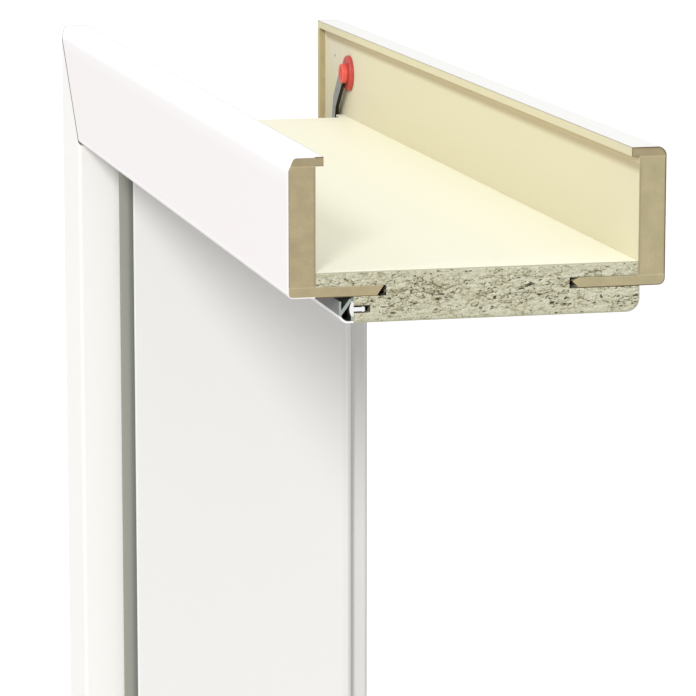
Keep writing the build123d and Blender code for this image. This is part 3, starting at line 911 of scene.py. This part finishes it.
def rim_steps(cells, count):
    """Edges that belong to one cell only, each from its first to its second point."""
    steps = np.concatenate([cells[:, [k, (k + 1) % 4]] for k in range(4)])
    codes = steps[:, 0] * count + steps[:, 1]
    reverse = steps[:, 1] * count + steps[:, 0]
    return steps[~np.isin(codes, reverse)]


def sawn_face(name, look, settings, glued=()):
    """Thin closed plate over the sawn end of one CAD node. Its front stands out by the height that look
    gives, times distance / rim_width up to 1. The rim and the seams to the glued nodes fade by
    exp(-distance / width)."""
    back, rim_height, rim_width = 0.25 * MM, 0.02 * MM, 0.5 * MM
    rim_fade, seam_fade = 0.22 * MM, 0.25 * MM
    points, gap, cells = face_grid(end_outline(name), settings.step)
    count = len(points)
    tone, void, height = look(points, settings)
    seam = np.zeros(count)
    for other in glued:
        seam = np.maximum(seam, np.exp(-nearest_on(end_outline(other), points)[0] / seam_fade))
    lift = rim_height + height * np.clip(gap / rim_width, 0, 1)
    front = np.column_stack([SAWN_X + lift, points])
    rear = np.column_stack([np.full(count, SAWN_X - back), points])
    steps = rim_steps(cells, count)
    sides = np.column_stack([steps[:, 1], steps[:, 0], steps[:, 0] + count, steps[:, 1] + count])
    faces = np.concatenate([cells, cells[:, ::-1] + count, sides])
    mesh = bpy.data.meshes.new(name + "_sawn_end")
    mesh.from_pydata(np.concatenate([front, rear]), [], faces.tolist())
    rim = np.exp(-gap / rim_fade) * (1 - seam)
    for label, values in (("tone", tone), ("void", void), ("rim", rim), ("seam", seam)):
        layer = mesh.attributes.new(label, "FLOAT", "POINT")
        layer.data.foreach_set("value", np.concatenate([values, values]).astype(np.float32))
    clean_mesh(mesh)
    return place_piece(mesh, name)


def clean_mesh(mesh):
    """Merge points that fell together at the outline and drop the flat faces this leaves."""
    flat = 1e-7
    shape = bmesh.new()
    shape.from_mesh(mesh)
    bmesh.ops.remove_doubles(shape, verts=shape.verts, dist=SAME_PLACE)
    bmesh.ops.dissolve_degenerate(shape, edges=shape.edges, dist=flat)
    shape.to_mesh(mesh)
    shape.free()
    mesh.update()


# Operators

class DOORFRAME_OT_groups(bpy.types.Operator):
    """Build the shader groups that the finishes share"""

    bl_idname = "doorframe.groups"
    bl_label = "Shared shader groups"

    def execute(self, context):
        build_edge_group()
        build_grain_group()
        build_speck_group()
        build_chip_group()
        return {"FINISHED"}


def foil_looks(finish):
    """For each architrave foil the round of its inner corner, its shade, its bands and its fade."""
    jamb, highlight_white, top = finish.jamb_foil, finish.painted_highlight, HEAD_FOIL_HIGH.z
    pale_rear = scaled(highlight_white, 0.93, 0.925, 0.905)
    # Painted highlight: a white line just above the round at the foot of the head's front
    highlight_over_round = (UPWARD, HEAD_FOIL_LOW.z + FRONT_ROUND + 0.5 * MM, 0.8 * MM, highlight_white)
    sawn_edge = (ENDWARD, SAWN_X, 0.35 * MM, scaled(finish.board_dark, 0.6))
    # Painted shade: a dark line in the crease where the jamb's rear foil meets the lining's end
    crease_shade = (THROUGH, SHEET_HIGH.y, 0.6 * MM, scaled(jamb, 0.5))
    # Painted shade: darker over the outer rear round, where the foil turns away from the light, and on the
    # back face there
    outer_round_shade = (THROUGH, JAMB_FOIL_HIGH.y, 1.3 * MM, scaled(jamb, 0.5))
    # The middle of a round lies 0.586 radii inside the square corner, counted along both faces together
    round_middle = JAMB_FOIL_HIGH.x + JAMB_FOIL_HIGH.y - 0.586 * FRONT_ROUND
    # Painted shade: the jamb front's inner round is darkened most at its middle, where the light falls
    # strongest
    shade_on_round = (FRONT_CORNER, round_middle, 0.42 * FRONT_ROUND, scaled(jamb, 0.86))
    # Painted highlight: a white line on the jamb's inner edge next to the seal
    highlight_beside_seal = (THROUGH, SEAL_LOW.y - 0.3 * MM, 0.7 * MM, highlight_white)
    return {
        # Painted highlight: the fade whitens the top of the head's front
        "head_front_architrave_foil": (
            FRONT_ROUND, finish.head_foil, (highlight_over_round,), (top - 13 * MM, top - 3 * MM)
        ),
        "head_rear_architrave_foil": (REAR_ROUND, pale_rear, (sawn_edge,), None),
        "jamb_front_architrave_foil": (FRONT_ROUND, jamb, (shade_on_round, highlight_beside_seal), None),
        # Painted shade: the jamb's rear foil is a darker copy of the jamb's white, with painted shade lines
        # in its crease and at its outer round
        "jamb_rear_architrave_foil": (REAR_ROUND, scaled(jamb, 0.84), (crease_shade, outer_round_shade), None),
    }


class DOORFRAME_OT_white(bpy.types.Operator):
    """Finish the foil and the facing in satin white"""

    bl_idname = "doorframe.white"
    bl_label = "White foil and facing"

    def execute(self, context):
        finish = context.scene.door_finish
        for name, (radius, shade, bands, fade) in foil_looks(finish).items():
            white = satin_white(name + "_white", finish, shade, finish.board_dark, bands, fade)
            piece = rounded_foil(name, radius)
            piece.data.materials.append(white)
        # Painted highlights in white at the rebate corner and on the lining's rear round, and painted shade
        # as a darker line where that round meets the architrave
        reveal = (
            (THROUGH, FACING_LOW.y + 0.5 * MM, 0.8 * MM, finish.painted_highlight),
            (THROUGH, FACING_HIGH.y - 4.0 * MM, 1.3 * MM, finish.painted_highlight),
            (THROUGH, FACING_HIGH.y - 0.4 * MM, 1.1 * MM, scaled(finish.facing, 0.6)),
        )
        chips = scaled(finish.chip_middle, 0.8)
        dress(satin_white("white_facing", finish, finish.facing, chips, reveal), *named("_facing"))
        return {"FINISHED"}


class DOORFRAME_OT_cream(bpy.types.Operator):
    """Finish the backing and the sheets in cream"""

    bl_idname = "doorframe.cream"
    bl_label = "Cream backing and sheets"

    def execute(self, context):
        finish = context.scene.door_finish
        # Painted light: the backing turns paler towards the front architrave, which shades it
        pale = scaled(finish.backing, 1.01, 1.02, 1.05)
        backing = cream_sheet("cream_backing", finish, finish.backing, finish.chip_middle, pale)
        under_lip = cream_sheet("head_sheet", finish, finish.sheet, finish.board, lipped=True)
        plain = cream_sheet("plain_sheet", finish, finish.sheet, finish.board)
        dress(backing, *named("_backing"))
        dress(plain, *named("_sheet"))
        dress(under_lip, "head_rear_architrave_sheet")
        return {"FINISHED"}


class DOORFRAME_OT_boards(bpy.types.Operator):
    """Finish the fibreboard pieces and cut their sawn ends at the head"""

    bl_idname = "doorframe.boards"
    bl_label = "Fibreboard"

    def execute(self, context):
        finish, sawn = context.scene.door_finish, context.scene.door_sawn
        rear_tints, lip_tints = (1.04, 1.09, 1.08), (0.86, 0.86, 0.86)
        dress(fibreboard("fibreboard", finish), *named("_board", "_lip", "_tongue"))
        cuts = {
            "front": fibreboard("fibreboard_sawn", finish, sawn=True),
            "rear": fibreboard("fibreboard_sawn_rear", finish, rear_tints, sawn=True),
        }
        cut_lip = fibreboard("fibreboard_sawn_lip", finish, lip_tints, sawn=True)
        for side, cut in cuts.items():
            board, lip, tongue = (f"head_{side}_architrave_{kind}" for kind in ("board", "lip", "tongue"))
            # The tongue's own outline counts as a seam too, since its whole rim is pale
            for name, glued in ((board, (lip, tongue)), (lip, (board,)), (tongue, (board, tongue))):
                piece = sawn_face(name, board_face, sawn, glued)
                piece.data.materials.append(cut_lip if name == lip else cut)
        return {"FINISHED"}


class DOORFRAME_OT_core(bpy.types.Operator):
    """Finish the chipboard core and cut its sawn end at the head"""

    bl_idname = "doorframe.core"
    bl_label = "Chipboard core"

    def execute(self, context):
        finish, sawn = context.scene.door_finish, context.scene.door_sawn
        dress(chipboard_solid(finish), *named("_core"))
        piece = sawn_face("head_lining_core", chip_face, sawn)
        piece.data.materials.append(chipboard_sawn(finish))
        return {"FINISHED"}


class DOORFRAME_OT_seal(bpy.types.Operator):
    """Finish the seal's soft bulb and its firm web"""

    bl_idname = "doorframe.seal"
    bl_label = "Seal"

    def execute(self, context):
        finish = context.scene.door_finish
        dress(jamb_seal_rubber(finish), "jamb_seal")
        dress(head_seal_rubber(finish), "head_seal")
        dress(seal_web_plastic(finish), *named("_seal_web"))
        return {"FINISHED"}


class DOORFRAME_OT_connectors(bpy.types.Operator):
    """Finish the red cams and collars and the steel hooks and studs"""

    bl_idname = "doorframe.connectors"
    bl_label = "Mitre connectors"

    def execute(self, context):
        finish = context.scene.door_finish
        dress(red_plastic(finish), *named("_cam", "_collar"))
        dress(zinc_steel(finish), *named("_hook", "_stud"))
        return {"FINISHED"}


class DOORFRAME_OT_stage(bpy.types.Operator):
    """Set up the pale floor, the soft lights and the camera"""

    bl_idname = "doorframe.stage"
    bl_label = "Studio"

    def execute(self, context):
        studio = context.scene.door_studio
        build_floor(studio)
        build_sky(context.scene, studio)
        build_sun(context.scene, "key", studio.key_travel, studio.key_strength, studio.key_width)
        build_sun(context.scene, "fill", studio.fill_travel, studio.fill_strength, studio.fill_width)
        build_camera(context.scene, studio)
        context.scene.view_settings.view_transform = "Standard"
        return {"FINISHED"}


def build_floor(studio):
    """A large flat floor at the foot of the frame: nearly white to the camera, and grey as a light."""
    darker, paler, as_light = (0.93, 0.93, 0.92), (0.96, 0.96, 0.955), (0.45, 0.45, 0.45)
    half = studio.floor_size / 2
    corners = [(-half, -half, 0), (half, -half, 0), (half, half, 0), (-half, half, 0)]
    mesh = bpy.data.meshes.new("floor")
    mesh.from_pydata(corners, [], [(0, 1, 2, 3)])
    floor = bpy.data.objects.new("floor", mesh)
    bpy.context.scene.collection.objects.link(floor)
    material, tree, shader, place = new_material("pale_floor", Roughness=0.9, Specular_IOR_Level=0.0)
    clouds = put(tree, "TexNoise", {"Vector": place, "Scale": 0.6, "Detail": 2.0}).outputs["Fac"]
    seen = put(tree, "LightPath").outputs["Is Camera Ray"]
    feed(tree, shader, Base_Color=blend(tree, seen, as_light, blend(tree, clouds, darker, paler)))
    mesh.materials.append(material)


def build_sky(scene, studio):
    """White to the camera; as a light it is brighter overhead than at the sides."""
    world = bpy.data.worlds.new("studio_sky")
    world.use_nodes = True
    tree = world.node_tree
    tree.nodes.clear()
    height = coordinate(tree, put(tree, "TexCoord").outputs["Generated"], "Z")
    glow = put(tree, "MapRange", {
        "Value": height, "From Min": 0.0, "From Max": 1.0,
        "To Min": studio.sky_side, "To Max": studio.sky_top,
    }).outputs[0]
    white = (1.0, 1.0, 1.0, 1.0)
    light = put(tree, "Background", {"Color": white, "Strength": glow})
    plain = put(tree, "Background", {"Color": white, "Strength": 1.0})
    both = put(tree, "MixShader", {
        0: put(tree, "LightPath").outputs["Is Camera Ray"],
        1: light.outputs[0],
        2: plain.outputs[0],
    })
    put(tree, "OutputWorld", {"Surface": both.outputs[0]})
    scene.world = world


def build_sun(scene, name, travel, strength, width):
    """A broad soft light: the key comes from the sawn side and casts the head's shadow on the reveal, and
    the fill comes from the front and a little from above."""
    light = bpy.data.lights.new(name, "SUN")
    light.energy = strength
    light.angle = width
    sun = bpy.data.objects.new(name, light)
    sun.rotation_mode = "QUATERNION"
    sun.rotation_quaternion = Vector(travel).to_track_quat("-Z", "Y")
    scene.collection.objects.link(sun)


def build_camera(scene, studio):
    """The camera at the photograph's place and angle."""
    data = bpy.data.cameras.new("camera")
    data.lens = studio.lens
    data.sensor_width = 36.0
    data.clip_start, data.clip_end = 0.05, 200.0
    camera = bpy.data.objects.new("camera", data)
    turn, rise = studio.camera_azimuth, studio.camera_elevation
    level = math.cos(rise)
    forward = Vector((-math.sin(turn) * level, math.cos(turn) * level, -math.sin(rise)))
    camera.location = studio.camera_place
    camera.rotation_mode = "QUATERNION"
    camera.rotation_quaternion = forward.to_track_quat("-Z", "Y")
    scene.collection.objects.link(camera)
    scene.camera = camera


STEPS = (
    DOORFRAME_OT_groups,
    DOORFRAME_OT_white,
    DOORFRAME_OT_cream,
    DOORFRAME_OT_boards,
    DOORFRAME_OT_core,
    DOORFRAME_OT_seal,
    DOORFRAME_OT_connectors,
    DOORFRAME_OT_stage,
)


class DOORFRAME_PT_panel(bpy.types.Panel):
    """Lists the finishes and the settings they read."""

    bl_idname = "DOORFRAME_PT_panel"
    bl_label = "Door frame corner"
    bl_space_type = "VIEW_3D"
    bl_region_type = "UI"
    bl_category = "Door frame"

    def draw(self, context):
        for step in STEPS:
            self.layout.operator(step.bl_idname)
        for name in ("door_finish", "door_sawn", "door_studio"):
            group = getattr(context.scene, name)
            box = self.layout.box()
            for setting in group.__annotations__:
                box.prop(group, setting)


GROUPS = (
    ("door_finish", FinishSettings),
    ("door_sawn", SawnFaceSettings),
    ("door_studio", StudioSettings),
)


def register():
    """Register the classes and hang the settings on the scene."""
    for name, kind in GROUPS:
        bpy.utils.register_class(kind)
        setattr(bpy.types.Scene, name, PointerProperty(type=kind))
    for kind in (*STEPS, DOORFRAME_PT_panel):
        bpy.utils.register_class(kind)


def unregister():
    """Take the classes and the settings away again."""
    for kind in reversed((*STEPS, DOORFRAME_PT_panel)):
        bpy.utils.unregister_class(kind)
    for name, kind in reversed(GROUPS):
        delattr(bpy.types.Scene, name)
        bpy.utils.unregister_class(kind)


def main():
    """Register the add-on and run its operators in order."""
    register()
    bpy.ops.doorframe.groups()
    bpy.ops.doorframe.white()
    bpy.ops.doorframe.cream()
    bpy.ops.doorframe.boards()
    bpy.ops.doorframe.core()
    bpy.ops.doorframe.seal()
    bpy.ops.doorframe.connectors()
    bpy.ops.doorframe.stage()


if __name__ == "__main__":
    main()
